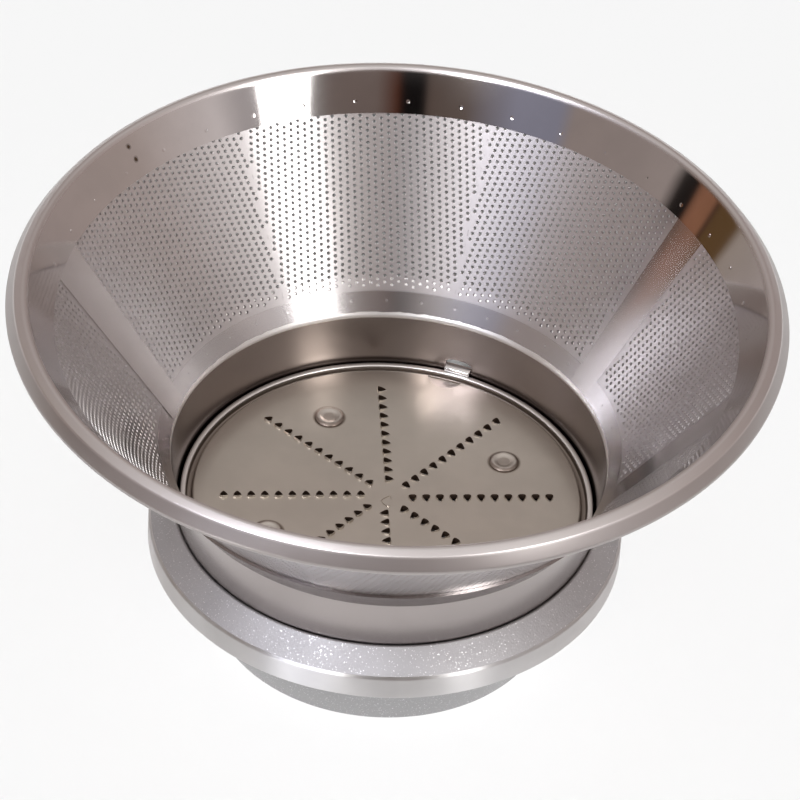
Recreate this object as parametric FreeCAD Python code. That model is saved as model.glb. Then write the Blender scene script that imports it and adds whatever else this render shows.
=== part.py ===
"""Filter basket of a centrifugal juicer: a perforated cone on a cast drive hub.

The basket stands on its hub with the axis along +Z and the foot at z = 0.
Lengths are in millimetres and angles in degrees. Azimuth 0 is +X.
"""
import FreeCAD, Part
import math
import os

# Overall form
overall_height = 78.3
cone_half_angle = 36.5

# Rim ring, pressed from polished sheet
rim_sheet = 0.5
band_drop = 7.4
lip_bend_radius = 1.0
lip_width = 2.3
lip_fall_angle = 34.0
ridge_bend_radius = 0.9
skirt_length = 3.6
skirt_fall_angle = 56.0
hem_bend_radius = 0.75
hem_length = 1.5
hem_turn_angle = 105.0

# Perforated screen, one sheet rolled into a cone
screen_sheet = 0.4
screen_foot_step = 0.1
screen_foot_height = 39.1
screen_top_drop = 2.3
lap_clearance = 0.05
hole_width = 4.0
hole_rows = 5
hole_pitch_angle = 14.0
lower_margin = 5.2
upper_margin = 1.2
strip_width_angle = 8.2
strip_azimuths = [-16.0, 32.0, 168.0]

# Collar, a drawn cup between the cone and the hub
collar_sheet = 0.6
collar_foot_radius = 40.2
collar_taper = 2.0
collar_bend_radius = 1.4
collar_neck_bend_radius = 1.2
collar_floor_hole_radius = 15.0
flare_top_height = 44.3
tab_azimuth = 72.0
tab_width = 5.2
tab_reach = 1.1
tab_thickness = 0.8
tab_lift = 0.5
tab_slot_height = 1.1

# Grating disc, pressed with a raised middle, a groove and a rim
disc_sheet = 0.8
disc_edge_gap = 0.1
disc_rim_width = 1.1
disc_rim_rise = 1.25
groove_width = 1.4
groove_draft = 0.2
plateau_rise = 1.2
recess_azimuth = 74.5
recess_radius = 3.6
recess_reach = 2.8
recess_depth = 0.5
tooth_row_count = 8
tooth_row_phase = 5.4
teeth_per_row = 11
first_tooth_radius = 5.0
last_tooth_margin = 6.0
tooth_row_offset = 0.95
tooth_width = 2.1
tooth_length = 2.1
tooth_height = 0.75
tooth_wall = 0.3

# Rivets through disc, collar floor and hub, each with a shoulder under the disc
rivet_count = 4
rivet_phase = 28.5
rivet_circle_radius = 25.5
rivet_shank_radius = 1.6
rivet_clearance = 0.1
rivet_shoulder_radius = 2.5
rivet_head_radius = 2.9
rivet_head_height = 0.5
rivet_dimple_radius = 1.7
rivet_dimple_depth = 0.3

# Drive hub, cast with a machined edge
foot_radius = 33.0
flange_reach = 5.0
flange_overhang = 5.0
flange_foot_height = 16.9
flange_edge_height = 5.4
edge_chamfer = 0.5
shoulder_land = 0.5
seat_height = 25.2
register_depth = 1.2
register_clearance = 0.2
hub_plate = 5.0
hub_wall = 3.4
boss_radius = 11.5
boss_recess = 3.0
socket_radius = 7.0
socket_depth = 15.0

origin = FreeCAD.Vector(0, 0, 0)
up = FreeCAD.Vector(0, 0, 1)
cone_slope = math.tan(math.radians(cone_half_angle))
cone_cosine = math.cos(math.radians(cone_half_angle))
band_foot_height = overall_height - band_drop
screen_top_height = overall_height - screen_top_drop
collar_neck_radius = collar_foot_radius + collar_taper
screen_foot_radius = collar_neck_radius + screen_foot_step
disc_rim_radius = collar_foot_radius - disc_edge_gap
disc_flat_radius = disc_rim_radius - disc_rim_width - groove_width
tooth_pitch = (disc_flat_radius - last_tooth_margin - first_tooth_radius) / (teeth_per_row - 1)
register_radius = collar_foot_radius + collar_sheet + register_clearance
flange_radius = register_radius + flange_reach
waist_radius = flange_radius - flange_overhang
collar_floor_height = seat_height + collar_sheet
disc_floor_height = collar_floor_height
groove_height = disc_floor_height + disc_sheet
disc_top_height = groove_height + plateau_rise
disc_under_height = disc_floor_height + plateau_rise
disc_rim_height = groove_height + disc_rim_rise


def direction(angle):
    """Unit vector (radius, height) at an angle above the outward horizontal."""
    turn = math.radians(angle)
    return (math.cos(turn), math.sin(turn))


def at(radius, height):
    """Point of a section drawn in the XZ plane."""
    return FreeCAD.Vector(radius, 0, height)


def polar(radius, azimuth, height):
    """Point at a radius and azimuth round the axis."""
    turn = math.radians(azimuth)
    return FreeCAD.Vector(radius * math.cos(turn), radius * math.sin(turn), height)


def revolve(edges):
    """Solid of revolution of a closed section."""
    face = Part.Face(Part.Wire(edges))
    return face.revolve(origin, up, 360)


def revolve_points(points):
    """Solid of revolution of a section with straight sides."""
    corners = [at(radius, height) for radius, height in points]
    edges = [Part.LineSegment(a, b).toShape() for a, b in zip(corners, corners[1:] + corners[:1])]
    return revolve(edges)


def bent_sheet(points, bends, thickness):
    """Section edges of a sheet that follows points, with its thickness on the right hand.

    Each inner corner has a bend radius, measured on the side of the points.
    """
    places = [FreeCAD.Vector(radius, 0, height) for radius, height in points]
    runs = [(b - a).normalize() for a, b in zip(places, places[1:])]
    rights = [FreeCAD.Vector(run.z, 0, -run.x) for run in runs]
    near = [places[0]]
    far = [places[0] + rights[0] * thickness]
    near_edges = []
    far_edges = []
    for k, bend in enumerate(bends):
        cross = runs[k].z * runs[k + 1].x - runs[k].x * runs[k + 1].z
        side = 1.0 if cross > 0 else -1.0
        half_turn = math.acos(runs[k] * runs[k + 1]) / 2.0
        corner = places[k + 1]
        setback = bend * math.tan(half_turn)
        start = corner - runs[k] * setback
        end = corner + runs[k + 1] * setback
        centre = start + rights[k] * (side * bend)
        outward = (corner - centre).normalize()
        far_bend = bend - side * thickness
        near_edges.append(Part.LineSegment(near[-1], start).toShape())
        near_edges.append(Part.Arc(start, centre + outward * bend, end).toShape())
        far_start = start + rights[k] * thickness
        far_end = end + rights[k + 1] * thickness
        far_edges.append(Part.LineSegment(far[-1], far_start).toShape())
        far_edges.append(Part.Arc(far_start, centre + outward * far_bend, far_end).toShape())
        near.append(end)
        far.append(far_end)
    tip = places[-1]
    far_tip = tip + rights[-1] * thickness
    near_edges.append(Part.LineSegment(near[-1], tip).toShape())
    far_edges.append(Part.LineSegment(far[-1], far_tip).toShape())
    caps = [
        Part.LineSegment(places[0], places[0] + rights[0] * thickness).toShape(),
        Part.LineSegment(tip, far_tip).toShape(),
    ]
    return Part.__sortEdges__(near_edges + far_edges + caps)


def screen_radius(height, depth):
    """Radius on the cone at a height, a depth outward from the screen's inner face."""
    return screen_foot_radius + (height - screen_foot_height) * cone_slope + depth / cone_cosine


def along(point, angle, length):
    """Point reached by going a length at an angle in the section."""
    step = direction(angle)
    return (point[0] + step[0] * length, point[1] + step[1] * length)


def make_rim_ring():
    """Rim ring: polished inner band, rounded lip, ridge, flared skirt and turned hem."""
    band_angle = 90.0 - cone_half_angle
    half_turn = math.radians((band_angle + lip_fall_angle) / 2.0)
    crest_angle = 135.0 - (cone_half_angle + lip_fall_angle) / 2.0
    crest_rise = lip_bend_radius * (direction(crest_angle)[1] / math.cos(half_turn) - 1.0)
    lip_height = overall_height + crest_rise
    face_depth = -(rim_sheet + lap_clearance)
    band_foot = (screen_radius(band_foot_height, face_depth), band_foot_height)
    lip = (screen_radius(lip_height, face_depth), lip_height)
    ridge = along(lip, -lip_fall_angle, lip_width)
    skirt_foot = along(ridge, -skirt_fall_angle, skirt_length)
    hem_tip = along(skirt_foot, -skirt_fall_angle - hem_turn_angle, hem_length)
    points = [band_foot, lip, ridge, skirt_foot, hem_tip]
    bends = [lip_bend_radius, ridge_bend_radius, hem_bend_radius]
    return revolve(bent_sheet(points, bends, rim_sheet))


def screen_hole(height, azimuth):
    """Six-sided cutter through the screen, square to the cone."""
    reach = hole_width
    corner_radius = hole_width / math.sqrt(3.0)
    outline = []
    for k in range(6):
        turn = math.radians(60.0 * k)
        outline.append(FreeCAD.Vector(corner_radius * math.cos(turn), corner_radius * math.sin(turn), 0))
    prism = Part.Face(Part.makePolygon(outline + outline[:1])).extrude(FreeCAD.Vector(0, 0, 2 * reach))
    prism.translate(FreeCAD.Vector(0, 0, -reach))
    prism.rotate(origin, FreeCAD.Vector(0, 1, 0), 90.0 + cone_half_angle)
    prism.translate(at(screen_radius(height, screen_sheet / 2.0), height))
    prism.rotate(origin, up, azimuth)
    return prism


def hole_azimuths(row):
    """Azimuths of one row's holes, spread evenly over each panel between the plain strips."""
    azimuths = []
    strips = strip_azimuths + [strip_azimuths[0] + 360.0]
    for left, right in zip(strips, strips[1:]):
        start = left + strip_width_angle / 2.0
        span = right - left - strip_width_angle
        columns = round(span / hole_pitch_angle)
        pitch = span / columns
        shift = 0.5 if row % 2 == 0 else 1.0
        count = columns if row % 2 == 0 else columns - 1
        azimuths += [start + (k + shift) * pitch for k in range(count)]
    return azimuths


def make_mesh_screen():
    """Screen: a conical sheet with staggered holes in panels between plain strips."""
    wall = revolve_points([
        (screen_radius(screen_foot_height, 0.0), screen_foot_height),
        (screen_radius(screen_foot_height, screen_sheet), screen_foot_height),
        (screen_radius(screen_top_height, screen_sheet), screen_top_height),
        (screen_radius(screen_top_height, 0.0), screen_top_height),
    ])
    lowest = screen_foot_height + lower_margin + hole_width * cone_cosine / 2.0
    highest = band_foot_height - upper_margin - hole_width * cone_cosine / 2.0
    cutters = []
    for row in range(hole_rows):
        height = lowest + (highest - lowest) * row / (hole_rows - 1)
        cutters += [screen_hole(height, azimuth) for azimuth in hole_azimuths(row)]
    return wall.cut(Part.makeCompound(cutters))


def collar_wall_radius(height):
    """Inner radius of the collar's tapered wall, taken up to its neck."""
    rise = (height - collar_floor_height) / (collar_neck_height() - collar_floor_height)
    return collar_foot_radius + (collar_neck_radius - collar_foot_radius) * rise


def collar_neck_height():
    """Height where the collar's wall meets the line of its flare."""
    flare_depth = screen_sheet + lap_clearance
    flare_radius = screen_radius(screen_foot_height, flare_depth)
    return screen_foot_height + (collar_neck_radius - flare_radius) / cone_slope


def make_collar():
    """Collar: ring floor, tapered wall, flare outside the screen, and a lock tab lanced inward."""
    flare_depth = screen_sheet + lap_clearance
    points = [
        (collar_floor_hole_radius, collar_floor_height),
        (collar_foot_radius, collar_floor_height),
        (collar_neck_radius, collar_neck_height()),
        (screen_radius(flare_top_height, flare_depth), flare_top_height),
    ]
    cup = revolve(bent_sheet(points, [collar_bend_radius, collar_neck_bend_radius], collar_sheet))
    tab_foot = disc_rim_height + tab_lift
    tab_top = tab_foot + tab_thickness
    root = collar_wall_radius(tab_foot) + collar_sheet / 2.0
    length = tab_reach + collar_sheet / 2.0
    corner = FreeCAD.Vector(root - length, -tab_width / 2.0, tab_foot)
    tab = Part.makeBox(length, tab_width, tab_thickness, corner)
    slot_corner = FreeCAD.Vector(root - length, -tab_width / 2.0, tab_top)
    slot = Part.makeBox(length + 2.0 * collar_sheet, tab_width, tab_slot_height, slot_corner)
    for shape in (tab, slot):
        shape.rotate(origin, up, tab_azimuth)
    shaft = make_rivet_holes(collar_floor_height - collar_sheet, collar_floor_height)
    return cup.cut([slot, shaft]).fuse(tab).removeSplitter()


def make_tooth(radius, azimuth):
    """A tooth raised at its heel and the cutter of its three-sided hole, tip turned clockwise."""
    half = tooth_width / 2.0
    heel = -tooth_length / 2.0
    toe = tooth_length / 2.0
    top = disc_top_height
    root = disc_top_height - disc_sheet / 2.0
    base = [
        FreeCAD.Vector(radius - half, -heel, root),
        FreeCAD.Vector(radius + half, -heel, root),
        FreeCAD.Vector(radius, -toe, root),
    ]
    peak = FreeCAD.Vector(radius, -heel - tooth_wall, top + tooth_height)
    sides = [
        Part.Face(Part.makePolygon([base[a], base[b], peak, base[a]]))
        for a, b in ((0, 1), (1, 2), (2, 0))
    ]
    floor = Part.Face(Part.makePolygon(base + base[:1]))
    tooth = Part.Solid(Part.Shell(sides + [floor]))
    hole = [
        FreeCAD.Vector(radius - half + tooth_wall, -heel - tooth_wall, 0),
        FreeCAD.Vector(radius + half - tooth_wall, -heel - tooth_wall, 0),
        FreeCAD.Vector(radius, -toe + 2.0 * tooth_wall, 0),
    ]
    cutter = Part.Face(Part.makePolygon(hole + hole[:1])).extrude(up * (top + 2 * tooth_height))
    for shape in (tooth, cutter):
        shape.translate(FreeCAD.Vector(0, -tooth_row_offset, 0))
        shape.rotate(origin, up, azimuth)
    return tooth, cutter


def make_rivet_holes(low, high):
    """Cutters for the rivets' shanks between two heights."""
    radius = rivet_shank_radius + rivet_clearance
    holes = []
    for k in range(rivet_count):
        foot = polar(rivet_circle_radius, rivet_phase + 360.0 * k / rivet_count, low)
        holes.append(Part.makeCylinder(radius, high - low, foot, up))
    return Part.makeCompound(holes)


def make_grating_disc():
    """Grating disc: raised middle, groove and rim, with rows of teeth and a pressed recess."""
    rim_inner_radius = disc_rim_radius - disc_rim_width
    plate = revolve_points([
        (0.0, disc_under_height),
        (disc_flat_radius - disc_sheet, disc_under_height),
        (disc_flat_radius - disc_sheet + groove_draft, disc_floor_height),
        (rim_inner_radius, disc_floor_height),
        (disc_rim_radius, disc_rim_height - disc_sheet),
        (disc_rim_radius, disc_rim_height),
        (rim_inner_radius, disc_rim_height),
        (rim_inner_radius - groove_draft, groove_height),
        (disc_flat_radius + groove_draft, groove_height),
        (disc_flat_radius, disc_top_height),
        (0.0, disc_top_height),
    ])
    teeth = []
    cutters = []
    for row in range(tooth_row_count):
        azimuth = tooth_row_phase + 360.0 * row / tooth_row_count
        for k in range(teeth_per_row):
            tooth, cutter = make_tooth(first_tooth_radius + k * tooth_pitch, azimuth)
            teeth.append(tooth)
            cutters.append(cutter)
    recess_floor = disc_top_height - recess_depth
    recess_spot = disc_flat_radius - recess_reach + recess_radius
    recess_centre = polar(recess_spot, recess_azimuth, recess_floor)
    recess = Part.makeCylinder(recess_radius, recess_depth + disc_rim_rise, recess_centre, up)
    recess_bound = Part.makeCylinder(rim_inner_radius - groove_draft, overall_height)
    holes = make_rivet_holes(disc_under_height, disc_top_height)
    plate = plate.cut(recess.common(recess_bound))
    return plate.fuse(teeth).cut(cutters + [holes])


def make_rivets():
    """Four rivets with dimpled heads on the disc and closing heads under the hub plate."""
    low = seat_height - hub_plate
    solids = []
    for k in range(rivet_count):
        azimuth = rivet_phase + 360.0 * k / rivet_count
        rivet = revolve_points([
            (0.0, low - rivet_head_height),
            (rivet_head_radius, low - rivet_head_height),
            (rivet_head_radius, low),
            (rivet_shank_radius, low),
            (rivet_shank_radius, collar_floor_height),
            (rivet_shoulder_radius, collar_floor_height),
            (rivet_shoulder_radius, disc_under_height),
            (rivet_shank_radius, disc_under_height),
            (rivet_shank_radius, disc_top_height),
            (rivet_head_radius, disc_top_height),
            (rivet_head_radius - rivet_dimple_depth, disc_top_height + rivet_head_height),
            (rivet_dimple_radius, disc_top_height + rivet_head_height),
            (rivet_dimple_radius, disc_top_height + rivet_head_height - rivet_dimple_depth),
            (0.0, disc_top_height + rivet_head_height - rivet_dimple_depth),
        ])
        rivet.translate(polar(rivet_circle_radius, azimuth, 0.0))
        solids.append(rivet)
    return Part.makeCompound(solids)


def make_drive_hub():
    """Drive hub: foot, tapered body, machined flange, sloping shoulder, seat and drive socket."""
    flange_top = flange_foot_height + flange_edge_height
    register_top = seat_height + register_depth
    pocket_top = seat_height - hub_plate
    taper = (waist_radius - foot_radius) / flange_foot_height
    pocket_top_radius = foot_radius + taper * pocket_top - hub_wall
    body = revolve_points([
        (foot_radius - hub_wall, 0.0),
        (foot_radius, 0.0),
        (waist_radius, flange_foot_height),
        (flange_radius - edge_chamfer, flange_foot_height),
        (flange_radius, flange_foot_height + edge_chamfer),
        (flange_radius, flange_top - edge_chamfer),
        (flange_radius - edge_chamfer, flange_top),
        (register_radius + shoulder_land, register_top),
        (register_radius, register_top),
        (register_radius, seat_height),
        (0.0, seat_height),
        (0.0, boss_recess + socket_depth),
        (socket_radius, boss_recess + socket_depth),
        (socket_radius, boss_recess),
        (boss_radius, boss_recess),
        (boss_radius, pocket_top),
        (pocket_top_radius, pocket_top),
    ])
    return body.cut(make_rivet_holes(pocket_top, seat_height))


def main():
    """Build every piece and write it to its own file."""
    os.makedirs("parts", exist_ok=True)
    pieces = {
        "rim_ring": make_rim_ring(),
        "mesh_screen": make_mesh_screen(),
        "collar": make_collar(),
        "grating_disc": make_grating_disc(),
        "rivets": make_rivets(),
        "drive_hub": make_drive_hub(),
    }
    for name, shape in pieces.items():
        print(name, "solids", len(shape.Solids), "volume", round(shape.Volume, 1), "valid", shape.isValid())
        shape.exportStep("parts/" + name + ".step")


main()
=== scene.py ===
"""Looks of a juicer's filter basket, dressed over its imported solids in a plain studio.

Sizes are in millimetres and angles in degrees, and become metres where a mesh is made.
Azimuth 0 is +X and azimuth 90 is +Y, away from the viewer.
"""

import logging
import math
from contextlib import contextmanager
from dataclasses import dataclass, field
from enum import Enum
from typing import Callable, Iterator, Optional, Sequence, Union

import bmesh
import bpy
import numpy as np
from mathutils import Matrix, Vector


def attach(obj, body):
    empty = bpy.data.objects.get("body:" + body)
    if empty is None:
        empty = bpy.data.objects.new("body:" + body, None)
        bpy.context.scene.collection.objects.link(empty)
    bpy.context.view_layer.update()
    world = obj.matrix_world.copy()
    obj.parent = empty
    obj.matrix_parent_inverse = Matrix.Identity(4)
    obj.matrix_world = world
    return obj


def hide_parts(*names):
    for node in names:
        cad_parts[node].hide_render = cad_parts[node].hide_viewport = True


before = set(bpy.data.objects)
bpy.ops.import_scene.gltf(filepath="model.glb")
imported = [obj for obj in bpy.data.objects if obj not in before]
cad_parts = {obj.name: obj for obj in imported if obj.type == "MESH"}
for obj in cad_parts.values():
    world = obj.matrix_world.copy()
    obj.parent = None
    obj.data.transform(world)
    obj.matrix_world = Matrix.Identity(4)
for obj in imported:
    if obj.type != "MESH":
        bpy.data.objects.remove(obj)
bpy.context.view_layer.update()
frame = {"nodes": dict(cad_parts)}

MM = 0.001
WALL_RATIO = 1.24  # Length along the screen's wall for each millimetre of height.
LOG = logging.getLogger("filter_basket")
Piece = bpy.types.Object
Socket = bpy.types.NodeSocket
Point2 = tuple[float, float]
Point3 = tuple[float, float, float]
Colour = tuple[float, float, float]
Value = Union["Signal", float]


class Slot(Enum):
    """Material slots of the record."""

    RIM = "polished_steel"
    SCREEN = "screen_steel"
    COLLAR = "collar_steel"
    DISC = "disc_steel"
    RIVET = "rivet_steel"
    HUB = "cast_aluminium"


class Signal:
    """A number that varies over a surface, held as a socket of a shader tree."""

    def __init__(self, recipe: "Recipe", socket: Socket) -> None:
        """Wraps a socket of a recipe's tree."""
        self.recipe = recipe
        self.socket = socket

    def __add__(self, other: Value) -> "Signal":
        """Sum."""
        return self.recipe.maths("ADD", self, other)

    def __sub__(self, other: Value) -> "Signal":
        """Difference."""
        return self.recipe.maths("SUBTRACT", self, other)

    def __rsub__(self, other: Value) -> "Signal":
        """Difference with the number first."""
        return self.recipe.maths("SUBTRACT", other, self)

    def __mul__(self, other: Value) -> "Signal":
        """Product."""
        return self.recipe.maths("MULTIPLY", self, other)

    def __truediv__(self, other: Value) -> "Signal":
        """Quotient."""
        return self.recipe.maths("DIVIDE", self, other)

    __radd__ = __add__
    __rmul__ = __mul__
    def wrapped(self) -> "Signal":
        """Part after the whole number, from 0 to 1."""
        return self.recipe.maths("FRACT", self)

    def step(self, low: float, high: float) -> "Signal":
        """Smooth rise from 0 at low to 1 at high, or a fall where low is the larger.

        Args:
            low: Value where the result is 0.
            high: Value where the result is 1.

        Returns:
            The eased value.
        """
        first, last = (low, high) if low < high else (high, low)
        node = self.recipe.node(
            "ShaderNodeMapRange",
            {"interpolation_type": "SMOOTHSTEP"},
            {"Value": self, "From Min": first, "From Max": last},
        )
        rise = Signal(self.recipe, node.outputs["Result"])
        return rise if low < high else 1.0 - rise

    def above(self, level: float, soft: float) -> "Signal":
        """Rise from 0 to 1 within a soft width of a level."""
        return self.step(level - soft, level + soft)

    def below(self, level: float, soft: float) -> "Signal":
        """Fall from 1 to 0 within a soft width of a level."""
        return self.step(level + soft, level - soft)

class Recipe:
    """Shader tree of one finish, built from expressions."""

    def __init__(self, tree: bpy.types.NodeTree) -> None:
        """Empties a tree for a new recipe."""
        self.tree = tree
        self.tree.nodes.clear()

    def node(self, kind: str, settings: Optional[dict] = None,
             inputs: Optional[dict] = None) -> bpy.types.Node:
        """Adds any node.

        Args:
            kind: Node type.
            settings: Properties of the node, and stops for a ramp's places and colours.
            inputs: Values, signals or sockets by input name or number.

        Returns:
            The new node.
        """
        node = self.tree.nodes.new(kind)
        for key, value in (settings or {}).items():
            if key == "stops":
                ramp = node.color_ramp
                while len(ramp.elements) < len(value):
                    ramp.elements.new(0.5)
                for element, (place, colour) in zip(ramp.elements, value):
                    element.position = place
                    element.color = (*colour, 1.0)
            else:
                setattr(node, key, value)
        for key, value in (inputs or {}).items():
            if isinstance(value, (Signal, Socket)):
                socket = value.socket if isinstance(value, Signal) else value
                self.tree.links.new(socket, node.inputs[key])
            else:
                node.inputs[key].default_value = value
        return node

    def maths(self, operation: str, *terms: Value) -> Signal:
        """Adds a Math node on one to three terms."""
        node = self.node("ShaderNodeMath", {"operation": operation}, dict(enumerate(terms)))
        return Signal(self, node.outputs[0])

    def place(self) -> Socket:
        """Object coordinates in millimetres."""
        source = self.node("ShaderNodeTexCoord").outputs["Object"]
        scale = {0: source, "Scale": 1.0 / MM}
        return self.node("ShaderNodeVectorMath", {"operation": "SCALE"}, scale).outputs[0]

    def axes(self, vector: Socket) -> tuple[Signal, Signal, Signal]:
        """The three parts of a vector."""
        node = self.node("ShaderNodeSeparateXYZ", {}, {0: vector})
        return tuple(Signal(self, socket) for socket in node.outputs)

    def noise(self, vector: Socket, grain: float, detail: float = 2.0) -> Signal:
        """Noise from 0 to 1.

        Args:
            vector: Coordinates in millimetres.
            grain: Size of a blotch in millimetres.
            detail: Octaves of finer noise.

        Returns:
            The noise value.
        """
        inputs = {"Vector": vector, "Scale": 1.0 / grain, "Detail": detail}
        return Signal(self, self.node("ShaderNodeTexNoise", {}, inputs).outputs[0])

    def stretched(self, vector: Socket, scale: Point3) -> Socket:
        """Coordinates scaled by axis."""
        return self.node("ShaderNodeMapping", {}, {"Vector": vector, "Scale": scale}).outputs[0]

    def blend(self, factor: Value, first: Union[Colour, Socket],
              second: Union[Colour, Socket]) -> Socket:
        """Mixes two colours.

        Args:
            factor: 0 for the first colour and 1 for the second.
            first: Colour or socket.
            second: Colour or socket.

        Returns:
            Socket of the mixed colour.
        """
        ends = [end if isinstance(end, Socket) else (*end, 1.0) for end in (first, second)]
        inputs = {0: factor, 6: ends[0], 7: ends[1]}
        return self.node("ShaderNodeMix", {"data_type": "RGBA"}, inputs).outputs[2]

    def length(self, first: Signal, second: Signal) -> Signal:
        """Length of two parts at right angles."""
        return self.maths("SQRT", first * first + second * second)

    def from_nearest(self, turn: Signal, count: int, phase: float) -> Signal:
        """Angle in radians from the nearest of evenly spaced azimuths."""
        pitch = 360.0 / count
        return (((turn - phase) / pitch + 0.5).wrapped() - 0.5) * math.radians(pitch)

    def polar(self, place: Socket) -> tuple[Signal, Signal, Signal]:
        """Cylindrical coordinates round the basket's axis.

        Args:
            place: Coordinates in millimetres.

        Returns:
            Radius from the axis, azimuth in degrees, and height.
        """
        x, y, z = self.axes(place)
        turn = self.maths("ARCTAN2", y, x) * (180.0 / math.pi)
        return self.length(x, y), turn, z

    def from_spots(self, radius: Signal, turn: Signal, count: int, phase: float,
                   circle: float) -> Signal:
        """Distance in plan from the nearest of evenly spaced spots.

        Args:
            radius: Radius from the axis.
            turn: Azimuth.
            count: Number of spots.
            phase: Azimuth of the first spot.
            circle: Radius of the circle of spots.

        Returns:
            The distance.
        """
        angle = self.from_nearest(turn, count, phase)
        across = radius * self.maths("SINE", angle)
        return self.length(across, radius * self.maths("COSINE", angle) - circle)

    def bump(self, height: Signal) -> Socket:
        """Normal of a relief whose height is in millimetres."""
        inputs = {"Strength": 1.0, "Distance": MM, "Height": height}
        return self.node("ShaderNodeBump", {}, inputs).outputs[0]

    def principled(self, inputs: dict) -> None:
        """Ends a material's tree in a Principled shader with the given inputs."""
        shader = self.node("ShaderNodeBsdfPrincipled", {}, inputs)
        self.node("ShaderNodeOutputMaterial", {}, {"Surface": shader.outputs[0]})


@dataclass(frozen=True)
class Finish:
    """Metal finish with smudges and fine grain."""

    name: str
    colour: Colour
    roughness: float
    smudge: float = 0.03
    smudge_size: float = 9.0
    grain: float = 0.0
    grain_turn: float = 0.25
    coat: float = 0.0
    coat_roughness: float = 0.2
    coat_index: float = 3.0
    smudge_tone: float = 0.93
    smudge_detail: float = 3.0

    def material(self) -> bpy.types.Material:
        """Makes the material.

        Returns:
            The finished material.
        """
        material = bpy.data.materials.new(self.name)
        material.use_nodes = True
        recipe = Recipe(material.node_tree)
        place = recipe.place()
        constants = {"Metallic": 1.0}
        if self.grain:
            constants["Anisotropic"] = self.grain
            constants["Anisotropic Rotation"] = self.grain_turn
        if self.coat:
            constants["Coat Weight"] = self.coat
            constants["Coat Roughness"] = self.coat_roughness
            constants["Coat IOR"] = self.coat_index
        recipe.principled({**constants, **self.inputs(recipe, place)})
        return material

    def inputs(self, recipe: Recipe, place: Socket) -> dict:
        """Inputs of the shader that vary over the surface.

        Args:
            recipe: Tree of the material.
            place: Coordinates in millimetres.

        Returns:
            Values and sockets by input name.
        """
        smudges = recipe.noise(place, self.smudge_size, self.smudge_detail)
        tone = tuple(self.smudge_tone * part for part in self.colour)
        return {
            "Base Color": recipe.blend(smudges.step(0.3, 0.7), self.colour, tone),
            "Roughness": self.roughness + self.smudge * (smudges - 0.5) * 2.0,
        }


@dataclass(frozen=True)
class WeldedSteel(Finish):
    """Sheet with a ring of spot welds."""

    weld_count: int = 40
    weld_phase: float = 90.4
    weld_height: float = 72.8
    weld_radius: float = 0.45
    weld_core: float = 0.1
    weld_depth: float = 0.03
    weld_dulling: float = 0.06

    def welds(self, recipe: Recipe, radius: Signal, turn: Signal, z: Signal) -> Signal:
        """Spot welds, 1 at their middles.

        Args:
            recipe: Tree of the material.
            radius: Radius from the axis.
            turn: Azimuth.
            z: Height.

        Returns:
            Share of weld, from 0 to 1.
        """
        across = recipe.from_nearest(turn, self.weld_count, self.weld_phase) * radius
        along = (z - self.weld_height) * WALL_RATIO
        return recipe.length(across, along).step(self.weld_radius, self.weld_core)


@dataclass(frozen=True)
class PolishedRim(WeldedSteel):
    """Mirror polish with a ring of spot welds, two tarnish specks and a satin skirt."""

    inner_edge: Point2 = (69.9, 69.0)
    skirt_from: float = 70.1
    skirt_roughness: float = 0.36
    lip_colour: Colour = (0.6, 0.56, 0.55)
    skirt_top: float = 77.1
    skirt_colour: Colour = (0.42, 0.385, 0.375)
    specks: tuple[Point2, ...] = ((141.6, 76.2), (141.3, 73.8))
    speck_colour: Colour = (0.09, 0.06, 0.04)
    speck_edge: Point2 = (0.95, 0.45)
    speck_stretch: float = 0.6
    speck_wobble: float = 0.5
    speck_dulling: float = 0.4

    def inputs(self, recipe: Recipe, place: Socket) -> dict:
        """See Finish.inputs."""
        result = super().inputs(recipe, place)
        radius, turn, z = recipe.polar(place)
        inner = radius.step(*self.inner_edge)
        weld = self.welds(recipe, radius, turn, z) * inner
        for azimuth, height in self.specks:
            side = (turn - azimuth) * radius * math.radians(1.0)
            rise = (z - height) * WALL_RATIO
            reach = recipe.maths("SQRT", side * side + rise * rise * self.speck_stretch)
            reach = reach + recipe.noise(place, self.speck_wobble) * self.speck_wobble
            spot = reach.step(*self.speck_edge) * inner
            result["Base Color"] = recipe.blend(spot, result["Base Color"], self.speck_colour)
            result["Roughness"] = result["Roughness"] + spot * self.speck_dulling
        skirt = radius.above(self.skirt_from, 0.3)
        satin = recipe.blend(z.below(self.skirt_top, 0.2), self.lip_colour, self.skirt_colour)
        result["Base Color"] = recipe.blend(skirt, result["Base Color"], satin)
        dulled = result["Roughness"] + skirt * (self.skirt_roughness - self.roughness)
        result["Roughness"] = dulled + weld * self.weld_dulling
        result["Normal"] = recipe.bump(weld * -self.weld_depth)
        return result


@dataclass(frozen=True)
class ScreenSheet(WeldedSteel):
    """Punched sheet, brighter on its plain lower margin, with a ring of spot welds there."""

    weld_phase: float = 93.1
    weld_height: float = 40.9
    weld_depth: float = 0.012
    margin_height: float = 42.4
    margin_roughness: float = 0.22

    def inputs(self, recipe: Recipe, place: Socket) -> dict:
        """See Finish.inputs."""
        result = super().inputs(recipe, place)
        radius, turn, z = recipe.polar(place)
        weld = self.welds(recipe, radius, turn, z)
        plain = z.below(self.margin_height, 0.3)
        polished = result["Roughness"] - plain * (self.roughness - self.margin_roughness)
        result["Roughness"] = polished + weld * self.weld_dulling
        result["Normal"] = recipe.bump(weld * -self.weld_depth)
        return result


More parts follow.
